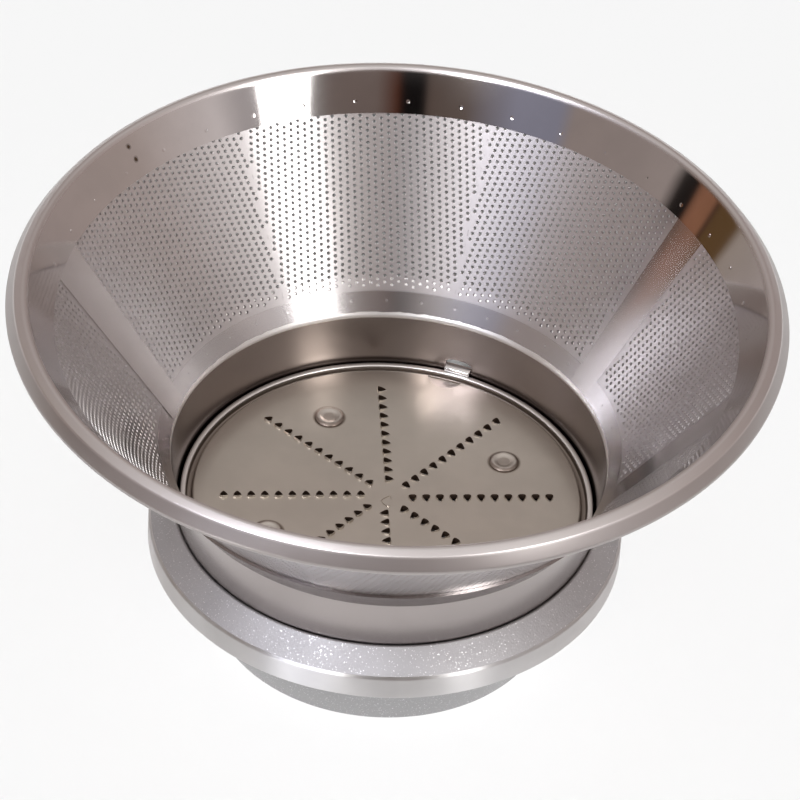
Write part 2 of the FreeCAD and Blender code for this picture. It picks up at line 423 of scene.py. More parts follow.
@dataclass(frozen=True)
class TurnedSteel(Finish):
    """Drawn or turned metal with fine marks round the axis."""

    mark_height: float = 0.0015
    mark_size: float = 0.17

    def inputs(self, recipe: Recipe, place: Socket) -> dict:
        """See Finish.inputs."""
        result = super().inputs(recipe, place)
        radius, _, z = recipe.polar(place)
        line = recipe.node("ShaderNodeCombineXYZ", {}, {0: radius, 1: z, 2: 0.0}).outputs[0]
        marks = recipe.noise(line, self.mark_size, 2.0)
        result["Normal"] = recipe.bump(marks * self.mark_height)
        return result


@dataclass(frozen=True)
class DrawnCollar(TurnedSteel):
    """Drawn steel with a painted highlight on the neck and painted shade in the corner round the
    disc.
    """

    neck_from: float = 37.7
    neck_highlight_colour: Colour = (0.88, 0.85, 0.83)
    neck_roughness: float = 0.4
    corner_top: float = 28.9
    corner_radius: float = 40.75
    corner_shade_colour: Colour = (0.07, 0.055, 0.05)

    def inputs(self, recipe: Recipe, place: Socket) -> dict:
        """See Finish.inputs."""
        result = super().inputs(recipe, place)
        radius, _, z = recipe.polar(place)
        # Painted highlight: the neck above neck_from gets a bright colour for the light it catches.
        neck = z.above(self.neck_from, 0.25)
        # Painted shade: the wall's lowest part, in the corner round the disc, is darkened.
        painted_shade = z.step(self.corner_top + 0.4, self.corner_top - 0.5)
        painted_shade = painted_shade * radius.below(self.corner_radius, 0.1)
        tone = recipe.blend(neck, result["Base Color"], self.neck_highlight_colour)
        result["Base Color"] = recipe.blend(painted_shade, tone, self.corner_shade_colour)
        result["Roughness"] = result["Roughness"] + neck * (self.neck_roughness - self.roughness)
        return result


@dataclass(frozen=True)
class SatinDisc(Finish):
    """Satin rolled steel, with painted shade in the groove, round the rivets and in the recess, and
    a painted highlight on the rim.
    """

    grain_scale: Point3 = (8.0, 0.5, 8.0)
    mottle_size: float = 1.2
    mark_height: float = 0.002
    groove_from: float = 37.65
    groove_to: float = 38.95
    groove_shade_colour: Colour = (0.28, 0.24, 0.21)
    rim_highlight_colour: Colour = (0.84, 0.81, 0.78)
    rivet_count: int = 4
    rivet_phase: float = 28.5
    rivet_circle: float = 25.5
    rivet_shade_radius: float = 3.2
    rivet_shade_colour: Colour = (0.3, 0.25, 0.21)
    recess_azimuth: float = 74.5
    recess_circle: float = 38.4
    recess_radius: float = 3.6
    recess_shade_colour: Colour = (0.38, 0.34, 0.31)

    def inputs(self, recipe: Recipe, place: Socket) -> dict:
        """See Finish.inputs."""
        result = super().inputs(recipe, place)
        radius, turn, _ = recipe.polar(place)
        grain = recipe.noise(recipe.stretched(place, self.grain_scale), 1.0)
        mottle = recipe.noise(place, self.mottle_size, 3.0)
        rivets = (self.rivet_count, self.rivet_phase, self.rivet_circle)
        # Painted shade: the disc is darkened in a ring round each rivet's head.
        painted_shade = recipe.from_spots(radius, turn, *rivets)
        painted_shade = painted_shade.step(self.rivet_shade_radius + 0.25, self.rivet_shade_radius - 0.2)
        # Painted shade: the half-round recess is darkened.
        pressed = recipe.from_spots(radius, turn, 1, self.recess_azimuth, self.recess_circle)
        pressed = pressed.step(self.recess_radius + 0.1, self.recess_radius - 0.3)
        tone = recipe.blend(painted_shade, result["Base Color"], self.rivet_shade_colour)
        tone = recipe.blend(pressed, tone, self.recess_shade_colour)
        # Painted shade: the groove at the foot of the rim is darkened.
        tone = recipe.blend(radius.above(self.groove_from, 0.1), tone, self.groove_shade_colour)
        # Painted highlight: the rim's top gets a bright colour for the light it catches.
        rim = radius.above(self.groove_to, 0.1)
        result["Base Color"] = recipe.blend(rim, tone, self.rim_highlight_colour)
        result["Normal"] = recipe.bump(grain * self.mark_height + mottle * self.mark_height)
        return result


@dataclass(frozen=True)
class RivetHead(Finish):
    """Plain steel with painted shade in a ring near the head's edge and in the dimple."""

    count: int = 4
    phase: float = 28.5
    circle: float = 25.5
    ring_radius: float = 2.35
    ring_shade_colour: Colour = (0.27, 0.22, 0.19)
    dimple_radius: float = 1.3
    dimple_shade_colour: Colour = (0.42, 0.37, 0.33)
    wobble: float = 0.5
    wobble_size: float = 1.1

    def inputs(self, recipe: Recipe, place: Socket) -> dict:
        """See Finish.inputs."""
        result = super().inputs(recipe, place)
        radius, turn, _ = recipe.polar(place)
        near = recipe.from_spots(radius, turn, self.count, self.phase, self.circle)
        near = near + (recipe.noise(place, self.wobble_size) - 0.5) * self.wobble
        # Painted shade: the dimple in the head is darkened.
        dimple = near.below(self.dimple_radius, 0.4)
        # Painted shade: the head is darkened in a ring near its edge.
        ring = near.step(self.ring_radius - 0.25, self.ring_radius + 0.2)
        tone = recipe.blend(dimple, result["Base Color"], self.dimple_shade_colour)
        result["Base Color"] = recipe.blend(ring, tone, self.ring_shade_colour)
        return result


@dataclass(frozen=True)
class CastMetal(Finish):
    """Sand cast skin with a fine sparkle, darker below the flange."""

    skin_height: float = 0.05
    skin_size: float = 0.45
    broad_size: float = 2.6
    sparkle_size: float = 0.3
    sparkle_edge: Point2 = (0.66, 0.74)
    sparkle_colour: Colour = (0.9, 0.9, 0.91)
    sparkle_shine: float = 0.22
    lower_top: float = 16.9
    lower_colour: Colour = (0.4, 0.395, 0.4)

    def inputs(self, recipe: Recipe, place: Socket) -> dict:
        """See Finish.inputs."""
        result = super().inputs(recipe, place)
        skin = recipe.noise(place, self.skin_size, 3.0)
        broad = recipe.noise(place, self.broad_size)
        sparkle = recipe.noise(place, self.sparkle_size, 1.0).step(*self.sparkle_edge)
        lower = recipe.axes(place)[2].step(self.lower_top + 0.2, self.lower_top - 0.4)
        tone = recipe.blend(lower, result["Base Color"], self.lower_colour)
        result["Base Color"] = recipe.blend(sparkle, tone, self.sparkle_colour)
        result["Roughness"] = result["Roughness"] - sparkle * self.sparkle_shine
        result["Normal"] = recipe.bump(skin * self.skin_height + broad * self.skin_height)
        return result


class Bench:
    """Modelling steps, each on one piece."""

    @staticmethod
    def clear() -> None:
        """Leaves edit mode and deselects everything."""
        if bpy.context.object and bpy.context.object.mode != "OBJECT":
            bpy.ops.object.mode_set(mode="OBJECT")
        bpy.ops.object.select_all(action="DESELECT")

    @staticmethod
    def take(piece: Piece) -> None:
        """Makes a piece the only one selected.

        Args:
            piece: Piece to select.
        """
        Bench.clear()
        piece.select_set(True)
        bpy.context.view_layer.objects.active = piece

    @staticmethod
    def named(name: str) -> Piece:
        """Names the piece just added, and its mesh.

        Args:
            name: Name of both.

        Returns:
            The piece.
        """
        piece = bpy.context.object
        piece.name = name
        piece.data.name = name
        return piece

    @staticmethod
    @contextmanager
    def editing() -> Iterator[None]:
        """Edit mode on the active piece, with everything selected at its start."""
        bpy.ops.object.mode_set(mode="EDIT")
        bpy.ops.mesh.select_all(action="SELECT")
        yield
        bpy.ops.object.mode_set(mode="OBJECT")

    @staticmethod
    def face_outward() -> None:
        """Turns all faces of the piece in edit mode outward."""
        bpy.ops.mesh.select_all(action="SELECT")
        bpy.ops.mesh.normals_make_consistent(inside=False)

    @staticmethod
    def corners(piece: Piece) -> np.ndarray:
        """Reads the coordinates of a piece's vertices.

        Args:
            piece: Piece to read.

        Returns:
            Rows of x, y and z.
        """
        flat = np.zeros(len(piece.data.vertices) * 3)
        piece.data.vertices.foreach_get("co", flat)
        return flat.reshape(-1, 3)

    @staticmethod
    def move_corners(piece: Piece, places: np.ndarray) -> None:
        """Moves a piece's vertices to new coordinates."""
        piece.data.vertices.foreach_set("co", places.ravel())

    @staticmethod
    def lamp(kind: str, name: str, place: Sequence[float], watts: float) -> Piece:
        """Adds a lamp.

        Args:
            kind: Lamp type.
            name: Name of the lamp.
            place: Location in metres.
            watts: Strength.

        Returns:
            The lamp.
        """
        Bench.clear()
        bpy.ops.object.light_add(type=kind, location=place)
        lamp = bpy.context.object
        lamp.name = name
        lamp.data.energy = watts
        return lamp

    @staticmethod
    def spun(name: str, points: Sequence[Point2], steps: int, fill: bool = False) -> Piece:
        """Draws a section by extruding a vertex, and spins it round the axis into a closed skin.

        Args:
            name: Name of the piece.
            points: Section as radius and height, a loop or a line between two points of the axis.
            steps: Steps of the spin.
            fill: Closes the open rings left where the line doesn't reach the axis.

        Returns:
            The piece, in object mode.
        """
        Bench.clear()
        bpy.ops.mesh.primitive_plane_add(size=MM)
        piece = Bench.named(name)
        with Bench.editing():
            bpy.ops.mesh.merge(type="CENTER")
            bpy.ops.transform.translate(value=(points[0][0] * MM, 0.0, points[0][1] * MM))
            for (r0, z0), (r1, z1) in zip(points, points[1:]):
                step = ((r1 - r0) * MM, 0.0, (z1 - z0) * MM)
                bpy.ops.mesh.extrude_region_move(TRANSFORM_OT_translate={"value": step})
            bpy.ops.mesh.select_all(action="SELECT")
            bpy.ops.mesh.spin(steps=steps, angle=2.0 * math.pi, center=(0, 0, 0), axis=(0, 0, 1))
            bpy.ops.mesh.select_all(action="SELECT")
            bpy.ops.mesh.remove_doubles(threshold=0.002 * MM)
            if fill:
                bpy.ops.mesh.fill_holes(sides=0)
            Bench.face_outward()
        return piece

    @staticmethod
    def loft(name: str, rings: Sequence[Sequence[Point3]], closed: bool) -> Piece:
        """Extrudes a ring of edges through given rings.

        Args:
            name: Name of the piece.
            rings: Rings of points in millimetres, all of one count.
            closed: Joins the last ring to the first, or else caps both ends.

        Returns:
            The piece, in object mode.
        """
        Bench.clear()
        count = len(rings[0])
        bpy.ops.mesh.primitive_circle_add(vertices=count, radius=MM, fill_type="NOTHING")
        piece = Bench.named(name)
        before = [Vector(place) * MM for place in rings[0]]
        for vertex, place in zip(piece.data.vertices, before):
            vertex.co = place
        with Bench.editing():
            for ring in rings[1:]:
                bpy.ops.mesh.extrude_edges_move()
                mesh = bmesh.from_edit_mesh(piece.data)
                fresh = [vertex for vertex in mesh.verts if vertex.select]
                after = [Vector(place) * MM for place in ring]
                nearest = [min(range(count), key=lambda k: (before[k] - vertex.co).length)
                           for vertex in fresh]
                for vertex, k in zip(fresh, nearest):
                    vertex.co = after[k]
                bmesh.update_edit_mesh(piece.data)
                before = after
            bpy.ops.mesh.select_all(action="DESELECT")
            bpy.ops.mesh.select_non_manifold(extend=False)
            if closed:
                bpy.ops.mesh.bridge_edge_loops()
            else:
                bpy.ops.mesh.fill_holes(sides=0)
            Bench.face_outward()
        return piece

    @staticmethod
    def copies(piece: Piece, moves: Sequence[Matrix]) -> Piece:
        """Puts a copy of a piece at each place and joins them.

        Args:
            piece: Piece at its home place, which becomes the first copy.
            moves: Place of each copy.

        Returns:
            The joined piece.
        """
        home = piece.data.copy()
        piece.data.transform(moves[0])
        others = []
        for move in moves[1:]:
            mesh = home.copy()
            mesh.transform(move)
            other = bpy.data.objects.new(piece.name, mesh)
            bpy.context.collection.objects.link(other)
            others.append(other)
        bpy.data.meshes.remove(home)
        return Bench.join([piece, *others])

    @staticmethod
    def join(pieces: Sequence[Piece]) -> Piece:
        """Joins pieces into the first.

        Args:
            pieces: Pieces to join.

        Returns:
            The first piece.
        """
        Bench.take(pieces[0])
        for piece in pieces:
            piece.select_set(True)
        bpy.ops.object.join()
        return pieces[0]

    @staticmethod
    def apply(piece: Piece, kind: str, **settings: object) -> None:
        """Adds a modifier and applies it.

        Args:
            piece: Piece to change.
            kind: Modifier type.
            **settings: Properties of the modifier.
        """
        Bench.take(piece)
        modifier = piece.modifiers.new(kind.title(), kind)
        for key, value in settings.items():
            setattr(modifier, key, value)
        bpy.ops.object.modifier_apply(modifier=modifier.name)

    @staticmethod
    def pierce(piece: Piece, cutter: Piece) -> None:
        """Cuts a shape out of a piece and removes the cutter."""
        Bench.apply(piece, "BOOLEAN", operation="DIFFERENCE", solver="EXACT", object=cutter)
        bpy.data.objects.remove(cutter)

    @staticmethod
    def smooth(piece: Piece, angle: float = 30.0) -> None:
        """Smooths the shading of all but the sharp edges."""
        Bench.take(piece)
        bpy.ops.object.shade_smooth_by_angle(angle=math.radians(angle))


class Section:
    """Sections of sheet and of turned parts, as lists of radius and height."""

    @staticmethod
    def bend(before: Point2, corner: Point2, after: Point2, radius: float,
             steps: int) -> tuple[list[Point2], Point2, float]:
        """Rounds one corner.

        Args:
            before: Corner ahead of this one.
            corner: The corner.
            after: Corner behind this one.
            radius: Radius of the bend.
            steps: Straight steps of the arc.

        Returns:
            The arc's points, its centre, and 1.0 for a turn to the right or -1.0 to the left.
        """
        here = Vector(corner)
        run = (here - Vector(before)).normalized()
        away = (Vector(after) - here).normalized()
        side = 1.0 if run.y * away.x - run.x * away.y > 0.0 else -1.0
        half = math.acos(max(-1.0, min(1.0, run.dot(away)))) / 2.0
        start = here - run * radius * math.tan(half)
        centre = start + Vector((run.y, -run.x)) * side * radius
        first = math.atan2(start.y - centre.y, start.x - centre.x)
        arc = []
        for k in range(steps + 1):
            turn = first - side * 2.0 * half * k / steps
            arc.append((centre.x + radius * math.cos(turn), centre.y + radius * math.sin(turn)))
        return arc, (centre.x, centre.y), side

    @staticmethod
    def sheet(points: Sequence[Point2], bends: Sequence[float], thickness: float,
              steps: int = 10) -> list[Point2]:
        """Closed section of a bent sheet, with its thickness on the right hand of the path.

        Args:
            points: Corners of the path.
            bends: Bend radius at each inner corner.
            thickness: Thickness of the sheet.
            steps: Straight steps of each bend.

        Returns:
            Points of the loop, the first given again at the end.
        """
        near = [points[0]]
        run = (Vector(points[1]) - Vector(points[0])).normalized()
        far = [(points[0][0] + run.y * thickness, points[0][1] - run.x * thickness)]
        for before, corner, after, radius in zip(points, points[1:], points[2:], bends):
            arc, centre, side = Section.bend(before, corner, after, radius, steps)
            ratio = (radius - side * thickness) / radius
            near += arc
            far += [(centre[0] + (r - centre[0]) * ratio, centre[1] + (z - centre[1]) * ratio)
                    for r, z in arc]
        run = (Vector(points[-1]) - Vector(points[-2])).normalized()
        near.append(points[-1])
        far.append((points[-1][0] + run.y * thickness, points[-1][1] - run.x * thickness))
        return near + far[::-1] + near[:1]

    @staticmethod
    def softened(points: Sequence[Point2], radius: float, steps: int = 3) -> list[Point2]:
        """Open section with each inner corner slightly rounded.

        Args:
            points: Corners of the section.
            radius: Largest radius of a corner.
            steps: Straight steps of each corner.

        Returns:
            Points of the section.
        """
        result = [points[0]]
        for before, corner, after in zip(points, points[1:], points[2:]):
            run, away = Vector(corner) - Vector(before), Vector(after) - Vector(corner)
            turn = run.angle(away)
            reach = 0.4 * min(run.length, away.length)
            fit = min(radius, reach / max(math.tan(turn / 2.0), 1e-4))
            arc = Section.bend(before, corner, after, fit, steps)[0]
            result += arc if turn > 0.02 else [corner]
        return result + [points[-1]]


@dataclass
class Cone:
    """Shape of the screen's cone, shared by the pieces that follow it."""

    half_angle: float = 36.5
    foot_radius: float = 42.3
    foot_height: float = 39.1

    @property
    def slope(self) -> float:
        """Gain of radius for each millimetre of height."""
        return math.tan(math.radians(self.half_angle))

    def radius(self, height: float, depth: float = 0.0) -> float:
        """Radius at a height, a depth outward from the screen's inner face."""
        return (self.foot_radius + (height - self.foot_height) * self.slope
                + depth / math.cos(math.radians(self.half_angle)))

    def slant(self, height: float) -> float:
        """Distance from the cone's apex, along the wall, at a height."""
        return self.radius(height) / math.sin(math.radians(self.half_angle))

    def rolled(self, flat: np.ndarray, azimuth: float) -> np.ndarray:
        """Rolls points of the flat blank onto the cone.

        Args:
            flat: Rows of across and along from the apex, and depth outward, in millimetres.
            azimuth: Azimuth where across is 0.

        Returns:
            Rows of x, y and z in millimetres.
        """
        sine = math.sin(math.radians(self.half_angle))
        cosine = math.cos(math.radians(self.half_angle))
        slant = np.hypot(flat[:, 0], flat[:, 1])
        turn = math.radians(azimuth) + np.arctan2(flat[:, 0], flat[:, 1]) / sine
        radius = slant * sine + flat[:, 2] * cosine
        rise = (slant - self.slant(self.foot_height)) * cosine
        height = self.foot_height + rise - flat[:, 2] * sine
        return np.column_stack((radius * np.cos(turn), radius * np.sin(turn), height))


class SubAssembly:
    """A CAD node's dressed pieces."""

    node = ""
    slot = Slot.RIM

    def build(self) -> list[Piece]:
        """Models the pieces."""
        raise NotImplementedError

    def dress(self, pieces: Sequence[Piece]) -> None:
        """Gives the pieces their finish."""
        raise NotImplementedError

    def place(self) -> None:
        pieces = self.build()
        self.dress(pieces)
        for piece in pieces:
            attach(piece, "root")
            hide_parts(self.node)
            LOG.info("%s: %d faces", piece.name, len(piece.data.polygons))

    @staticmethod
    def coat(piece: Piece, *finishes: Finish) -> None:
        """Sets a piece's materials.

        Args:
            piece: Piece to finish.
            *finishes: Finishes in the order of the material slots.
        """
        piece.data.materials.clear()
        for finish in finishes:
            material = bpy.data.materials.get(finish.name) or finish.material()
            piece.data.materials.append(material)

    @staticmethod
    def paint(piece: Piece, choose: Callable[[bpy.types.MeshPolygon], int]) -> None:
        """Gives each face the material that a rule chooses."""
        for face in piece.data.polygons:
            face.material_index = choose(face)

@dataclass
class RimRing(SubAssembly):
    """Polished ring with an inner band, a rounded lip, a ridge, a flared skirt and a turned hem."""

    cone: Cone = field(default_factory=Cone)
    top: float = 78.3
    sheet: float = 0.5
    lap: float = 0.05
    band_foot: float = 70.9
    lip_bend: float = 1.0
    lip_width: float = 2.3
    lip_fall: float = 34.0
    ridge_bend: float = 0.9
    skirt_length: float = 3.6
    skirt_fall: float = 56.0
    hem_bend: float = 0.75
    hem_length: float = 1.5
    hem_turn: float = 105.0
    steps: int = 360
    finish: Finish = PolishedRim("rim_polish", (0.62, 0.59, 0.58), 0.07)

    node = "rim_ring"
    slot = Slot.RIM

    @staticmethod
    def onward(point: Point2, fall: float, length: float) -> Point2:
        """Point reached by going a length at an angle below the horizontal."""
        turn = math.radians(fall)
        return (point[0] + length * math.cos(turn), point[1] - length * math.sin(turn))

    def build(self) -> list[Piece]:
        """Spins the bent sheet's section."""
        depth = -(self.sheet + self.lap)
        half = math.radians((90.0 - self.cone.half_angle + self.lip_fall) / 2.0)
        crest = math.radians(135.0 - (self.cone.half_angle + self.lip_fall) / 2.0)
        lip_height = self.top + self.lip_bend * (math.sin(crest) / math.cos(half) - 1.0)
        foot = (self.cone.radius(self.band_foot, depth), self.band_foot)
        lip = (self.cone.radius(lip_height, depth), lip_height)
        ridge = self.onward(lip, self.lip_fall, self.lip_width)
        skirt = self.onward(ridge, self.skirt_fall, self.skirt_length)
        hem = self.onward(skirt, self.skirt_fall + self.hem_turn, self.hem_length)
        bends = [self.lip_bend, self.ridge_bend, self.hem_bend]
        section = Section.sheet([foot, lip, ridge, skirt, hem], bends, self.sheet)
        piece = Bench.spun("rim_ring_polished", section, self.steps)
        Bench.smooth(piece)
        return [piece]

    def dress(self, pieces: Sequence[Piece]) -> None:
        """Polishes the ring."""
        self.coat(pieces[0], self.finish)


@dataclass
class ScreenZone:
    """One punched zone between two generators of the cone, with straight columns of holes."""

    start: float
    end: float
    axis: float
    start_margin: float = 0.05
    end_margin: float = 0.05


@dataclass
class MeshScreen(SubAssembly):
    """Punched sheet rolled into a cone, with plain strips and a lap seam."""

    cone: Cone = field(default_factory=Cone)
    sheet: float = 0.4
    foot: float = 39.1
    top: float = 76.0
    holes_from: float = 42.7
    holes_to: float = 70.6
    column_pitch: float = 1.389
    hole_pitch: float = 1.193
    hole_size: float = 0.78
    hole_taper: float = 0.4
    seam_step: float = 0.16
    merge_reach: float = 0.02
    rim_edge: float = 0.7
    blank_below: float = 3.0
    blank_above: float = 1.0
    blank_turn: float = 1.0
    smooth_angle: float = 38.0
    back_zones: tuple[ScreenZone, ...] = (
        ScreenZone(-11.7, 28.1, 9.0, 0.35, 0.35),
        ScreenZone(35.7, 75.9, 54.4, start_margin=0.35),
        ScreenZone(75.9, 119.9, 98.0),
        ScreenZone(119.9, 163.9, 142.0, end_margin=0.35),
    )
    front_zones: tuple[ScreenZone, ...] = (
        ScreenZone(-63.5, -19.7, -41.6, end_margin=0.35),
        ScreenZone(-105.2, -63.5, -63.5),
        ScreenZone(-146.9, -105.2, -126.0),
        ScreenZone(-187.5, -146.9, -167.2, start_margin=0.35),
    )
    back_strips: tuple[Point2, ...] = ((-19.7, -11.7), (28.1, 35.7), (163.4, 172.5))
    finish: Finish = ScreenSheet("screen_sheet", (0.44, 0.405, 0.4), 0.36, coat=1.0)
    strip_finish: Finish = Finish("screen_strip", (0.66, 0.63, 0.62), 0.2)

    node = "mesh_screen"
    slot = Slot.SCREEN

    def tile(self) -> Piece:
        """Models one hole in the middle of its tile of sheet.

        Returns:
            The tile, flat, with its hole's edge in a vertex group.
        """
        Bench.clear()
        size = self.hole_size / 2.0
        bpy.ops.mesh.primitive_circle_add(vertices=6, radius=size, fill_type="NOTHING")
        piece = Bench.named("screen_tile")
        for k, vertex in enumerate(piece.data.vertices):
            turn = math.radians(60.0 * k)
            vertex.co = (size * math.cos(turn), size * math.sin(turn), 0.0)
        piece.vertex_groups.new(name="hole").add(list(range(6)), 1.0, "REPLACE")
        with Bench.editing():
            bpy.ops.mesh.extrude_edges_move()
        wide, tall = self.column_pitch / 2.0, self.hole_pitch / 2.0
        corners = [(wide, 0.0), (wide, tall), (-wide, tall), (-wide, 0.0), (-wide, -tall),
                   (wide, -tall)]
        outer = range(6, 12)
        for k in outer:
            vertex = piece.data.vertices[k]
            turn = math.degrees(math.atan2(vertex.co.y, vertex.co.x))
            vertex.co = (*corners[round(turn / 60.0) % 6], 0.0)
        piece.vertex_groups["hole"].remove(list(outer))
        return piece

    def zone(self, zone: ScreenZone) -> Piece:
        """Arrays tiles into a flat blank, closes the holes beyond the zone, rolls and trims it.

        Args:
            zone: Limits of the zone.

        Returns:
            The zone's inner face, on the cone.
        """
        piece = self.tile()
        sine = math.sin(math.radians(self.cone.half_angle))
        low = self.cone.slant(self.foot) - self.blank_below
        high = self.cone.slant(self.top) + self.blank_above
        spread = max(abs(zone.start - zone.axis), abs(zone.end - zone.axis)) + self.blank_turn
        wide = high * math.sin(math.radians(spread) * sine)
        columns = 2 * math.ceil(wide / (2.0 * self.column_pitch)) + 1
        low *= math.cos(math.radians(spread) * sine)
        rows = math.ceil((high - low) / self.hole_pitch) + 1
        arrays = [
            (2, (self.column_pitch, self.hole_pitch / 2.0, 0.0)),
            (columns, (2.0 * self.column_pitch, 0.0, 0.0)),
            (rows, (0.0, self.hole_pitch, 0.0)),
        ]
        for count, offset in arrays:
            Bench.apply(piece, "ARRAY", count=count, constant_offset_displace=offset,
                        use_relative_offset=False, use_constant_offset=True,
                        use_merge_vertices=True, merge_threshold=self.merge_reach)
        Bench.take(piece)
        with Bench.editing():
            bpy.ops.mesh.remove_doubles(threshold=self.merge_reach)
        flat = Bench.corners(piece)
        column = np.round(flat[:, 0] / self.column_pitch)
        lift = (column % 2.0) * self.hole_pitch / 2.0
        row = np.round((flat[:, 1] - lift) / self.hole_pitch)
        centre_x = (column - (columns - 0.5)) * self.column_pitch
        centre_y = row * self.hole_pitch + lift + low
        flat[:, 0] -= (columns - 0.5) * self.column_pitch
        flat[:, 1] += low
        edge = np.array([len(vertex.groups) > 0 for vertex in piece.data.vertices])
        is_shut = edge & ~self.is_open(zone, centre_x, centre_y)
        Bench.move_corners(piece, self.cone.rolled(flat, zone.axis) * MM)
        with Bench.editing():
            bpy.ops.mesh.select_mode(type="VERT")
            bpy.ops.mesh.select_all(action="DESELECT")
            mesh = bmesh.from_edit_mesh(piece.data)
            mesh.verts.ensure_lookup_table()
            for k in np.nonzero(is_shut)[0]:
                mesh.verts[k].select = True
            mesh.select_flush(True)
            bmesh.update_edit_mesh(piece.data)
            bpy.ops.mesh.merge(type="COLLAPSE")
            self.trim(zone.start, zone.end)
        piece.vertex_groups.clear()
        return piece

    def is_open(self, zone: ScreenZone, across: np.ndarray, along: np.ndarray) -> np.ndarray:
        """Finds the holes that lie inside a zone.

        Args:
            zone: Limits of the zone.
            across: Places of the holes' middles across the flat blank.
            along: Places of the holes' middles along it, from the apex.

        Returns:
            True for each hole that stays open.
        """
        sine = math.sin(math.radians(self.cone.half_angle))
        size = self.hole_size / 2.0
        slant = np.hypot(across, along)
        turn = zone.axis + np.degrees(np.arctan2(across, along)) / sine
        before = np.degrees((size + zone.start_margin) / (slant * sine))
        after = np.degrees((size + zone.end_margin) / (slant * sine))
        inside = (turn - before > zone.start) & (turn + after < zone.end)
        inside &= slant > self.cone.slant(self.holes_from) + size
        return inside & (slant < self.cone.slant(self.holes_to))

    def trim(self, start: float, end: float) -> None:
        """Cuts the sheet in edit mode to a zone's generators, foot and top.

        Args:
            start: Azimuth of the first generator.
            end: Azimuth of the last generator.
        """
        first, last = math.radians(start), math.radians(end)
        planes = [
            ((0, 0, 0), (math.sin(first), -math.cos(first), 0)),
            ((0, 0, 0), (-math.sin(last), math.cos(last), 0)),
            ((0, 0, self.foot * MM), (0, 0, -1)),
            ((0, 0, self.top * MM), (0, 0, 1)),
        ]
        for spot, normal in planes:
            bpy.ops.mesh.select_all(action="SELECT")
            bpy.ops.mesh.bisect(plane_co=spot, plane_no=normal, clear_outer=True)

    def strip(self, start: float, end: float, lift: float) -> Piece:
        """Models a plain strip from a grid, rolled between two generators.

        Args:
            start: Azimuth of the first generator.
            end: Azimuth of the last generator.
            lift: Distance inward from the screen's inner face.

        Returns:
            The strip's inner face, on the cone.
        """
        Bench.clear()
        bpy.ops.mesh.primitive_grid_add(x_subdivisions=12, y_subdivisions=16, size=2.0)
        piece = Bench.named("screen_strip")
        middle = (start + end) / 2.0
        half = (end - start) / 2.0 * math.sin(math.radians(self.cone.half_angle))
        low, high = self.cone.slant(self.foot), self.cone.slant(self.top)
        flat = Bench.corners(piece)
        slant = low + (high - low) * (flat[:, 1] + 1.0) / 2.0
        turn = np.radians(half) * flat[:, 0]
        depth = np.full(len(flat), -lift)
        blank = np.column_stack((slant * np.sin(turn), slant * np.cos(turn), depth))
        Bench.move_corners(piece, self.cone.rolled(blank, middle) * MM)
        return piece

    def hole_edges(self, part: Piece) -> np.ndarray:
        """Finds the six-sided holes of a face.

        Args:
            part: Inner face on the cone.

        Returns:
            For each vertex the way to the middle of its hole, or zeros.
        """
        mesh = bmesh.new()
        mesh.from_mesh(part.data)
        inward = np.zeros((len(mesh.verts), 3))
        for vertex in mesh.verts:
            ring = [edge for edge in vertex.link_edges
                    if edge.is_boundary and edge.calc_length() < self.rim_edge * MM]
            if len(ring) == 2 and len(vertex.link_faces) > 1:
                before, after = (edge.other_vert(vertex).co for edge in ring)
                inward[vertex.index] = before + after - 2.0 * vertex.co
        mesh.free()
        return inward

    def sheeted(self, parts: Sequence[Piece], name: str) -> Piece:
        """Joins faces into one piece, turns them outward and gives them the sheet's thickness.

        Args:
            parts: Inner faces on the cone.
            name: Name of the piece.

        Returns:
            The finished sheet.
        """
        for part in parts:
            Bench.take(part)
            with Bench.editing():
                Bench.face_outward()
            face = part.data.polygons[len(part.data.polygons) // 2]
            if face.normal.dot(Vector((face.center.x, face.center.y, 0.0))) < 0.0:
                with Bench.editing():
                    bpy.ops.mesh.flip_normals()
            inward = self.hole_edges(part)
            Bench.apply(part, "SOLIDIFY", thickness=self.sheet * MM, offset=1.0,
                        use_even_offset=True)
            places = Bench.corners(part)
            halves = places.reshape(2, -1, 3)
            reach = [np.hypot(*half.T[:2]).mean() for half in halves]
            halves[int(reach[1] > reach[0])] += self.hole_taper * inward
            Bench.move_corners(part, places)
        Bench.join(parts)
        piece = Bench.named(name)
        Bench.smooth(piece, self.smooth_angle)
        return piece

    def build(self) -> list[Piece]:
        """Makes the back and the front of the screen."""
        back = [self.zone(zone) for zone in self.back_zones]
        lifts = (0.0, 0.0, self.seam_step)
        back += [self.strip(*ends, lift) for ends, lift in zip(self.back_strips, lifts)]
        front = [self.zone(zone) for zone in self.front_zones]
        return [self.sheeted(back, "screen_back"), self.sheeted(front, "screen_front")]

    def dress(self, pieces: Sequence[Piece]) -> None:
        """Finishes the sheet, smoother on its plain strips.

        Args:
            pieces: Back and front of the screen.
        """
        for piece in pieces:
            self.coat(piece, self.finish, self.strip_finish)
            self.paint(piece, self.finish_index)

    def finish_index(self, face: bpy.types.MeshPolygon) -> int:
        """Finish of a face: 1 on the plain strips."""
        turn = math.degrees(math.atan2(face.center.y, face.center.x))
        return int(any(start < turn < end for start, end in self.back_strips))


